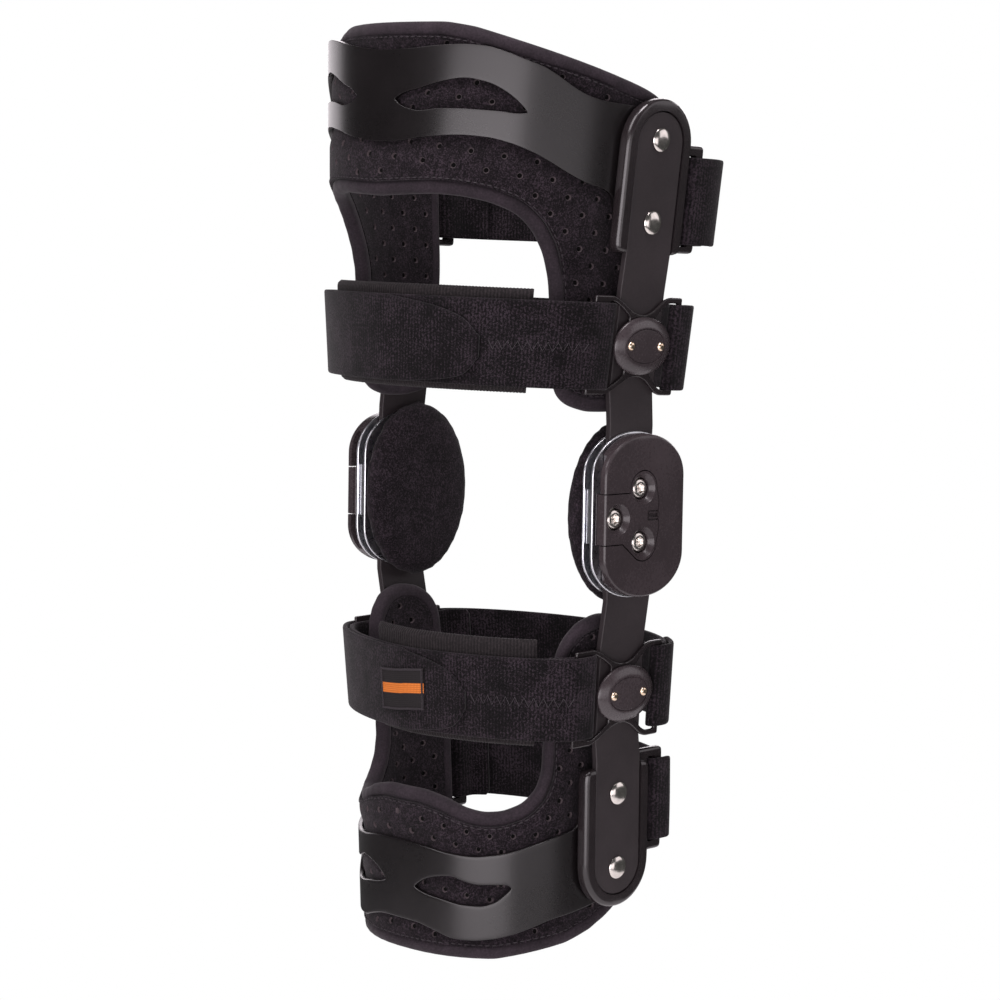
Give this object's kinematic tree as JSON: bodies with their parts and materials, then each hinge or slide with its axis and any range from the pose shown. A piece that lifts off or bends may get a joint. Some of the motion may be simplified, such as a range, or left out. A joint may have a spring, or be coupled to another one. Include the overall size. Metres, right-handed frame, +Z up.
{
  "type": "knee ligament brace",
  "caption": "Hinged knee brace: plastic thigh and calf cuffs with padded liners, joined by flat side bars with geared double-pivot hinges and closed by loop straps.",
  "frame": {"origin": "centre of the knee, midway between the two hinge heads and between their two pivots", "axes": "+Z up along the leg, -Y to the front of the knee, +X to the outer side"},
  "size_m": [0.1828, 0.1622, 0.419],
  "materials": {
    "charcoal_plastic": "matte charcoal with a soft sheen",
    "black_steel": "fine matte black coat",
    "nickel": "polished",
    "bright_steel": "bright ground edge",
    "liner_felt": "brushed loop face over foam, punched with small holes",
    "binding_knit": "smooth knit tape",
    "strap_loop": "loop pile webbing",
    "patch_weave": "plain woven, stitched edge"
  },
  "bodies": {
    "calf": {"calf_bar_inner": "black_steel", "calf_bar_outer": "black_steel", "calf_binding": "binding_knit", "calf_bracket_inner": "charcoal_plastic", "calf_bracket_outer": "charcoal_plastic", "calf_button_inner": "charcoal_plastic", "calf_button_outer": "charcoal_plastic", "calf_clip_inner": "charcoal_plastic", "calf_clip_outer": "charcoal_plastic", "calf_front_pad": "strap_loop", "calf_front_strap": "strap_loop", "calf_liner": "liner_felt", "calf_lower_back_strap": "strap_loop", "calf_rivet_1_inner": "nickel", "calf_rivet_1_outer": "nickel", "calf_rivet_2_inner": "nickel", "calf_rivet_2_outer": "nickel", "calf_shell": "charcoal_plastic", "calf_strap_patch": "patch_weave", "calf_upper_back_strap": "strap_loop"},
    "hinge_inner": {"condyle_pad_inner": "liner_felt", "hinge_back_plate_inner": "bright_steel", "hinge_cover_inner": "charcoal_plastic", "hinge_insert_inner": "charcoal_plastic", "hinge_outer_plate_inner": "bright_steel", "hinge_screw_front_inner": "nickel", "hinge_screw_lower_inner": "nickel", "hinge_screw_upper_inner": "nickel", "hinge_stop_inner": "bright_steel"},
    "hinge_outer": {"condyle_pad_outer": "liner_felt", "hinge_back_plate_outer": "bright_steel", "hinge_cover_outer": "charcoal_plastic", "hinge_insert_outer": "charcoal_plastic", "hinge_outer_plate_outer": "bright_steel", "hinge_screw_front_outer": "nickel", "hinge_screw_lower_outer": "nickel", "hinge_screw_upper_outer": "nickel", "hinge_stop_outer": "bright_steel"},
    "thigh": {"thigh_bar_inner": "black_steel", "thigh_bar_outer": "black_steel", "thigh_binding": "binding_knit", "thigh_bracket_inner": "charcoal_plastic", "thigh_bracket_outer": "charcoal_plastic", "thigh_button_inner": "charcoal_plastic", "thigh_button_outer": "charcoal_plastic", "thigh_clip_inner": "charcoal_plastic", "thigh_clip_outer": "charcoal_plastic", "thigh_front_pad": "strap_loop", "thigh_front_strap": "strap_loop", "thigh_liner": "liner_felt", "thigh_lower_back_strap": "strap_loop", "thigh_rivet_1_inner": "nickel", "thigh_rivet_1_outer": "nickel", "thigh_rivet_2_inner": "nickel", "thigh_rivet_2_outer": "nickel", "thigh_shell": "charcoal_plastic", "thigh_upper_back_strap": "strap_loop"}
  },
  "joints": [
    {"name": "thigh_pivot_outer", "type": "hinge", "parent": "thigh", "child": "hinge_outer", "pos_m": [0, 0, 0.012], "axis": [1, 0, 0], "range_deg": [-2, 43]},
    {"name": "calf_pivot", "type": "hinge", "parent": "hinge_outer", "child": "calf", "pos_m": [0, 0.00084, -0.01199], "axis": [1, 0, 0], "range_deg": [-2, 43]},
    {"name": "thigh_pivot_inner", "type": "hinge", "parent": "thigh", "child": "hinge_inner", "pos_m": [0, 0, 0.012], "axis": [1, 0, 0], "range_deg": [-2, 43]}
  ],
  "couplings": [
    {"joint": "calf_pivot", "follows": "thigh_pivot_outer", "ratio": 1},
    {"joint": "thigh_pivot_inner", "follows": "thigh_pivot_outer", "ratio": 1}
  ]
}
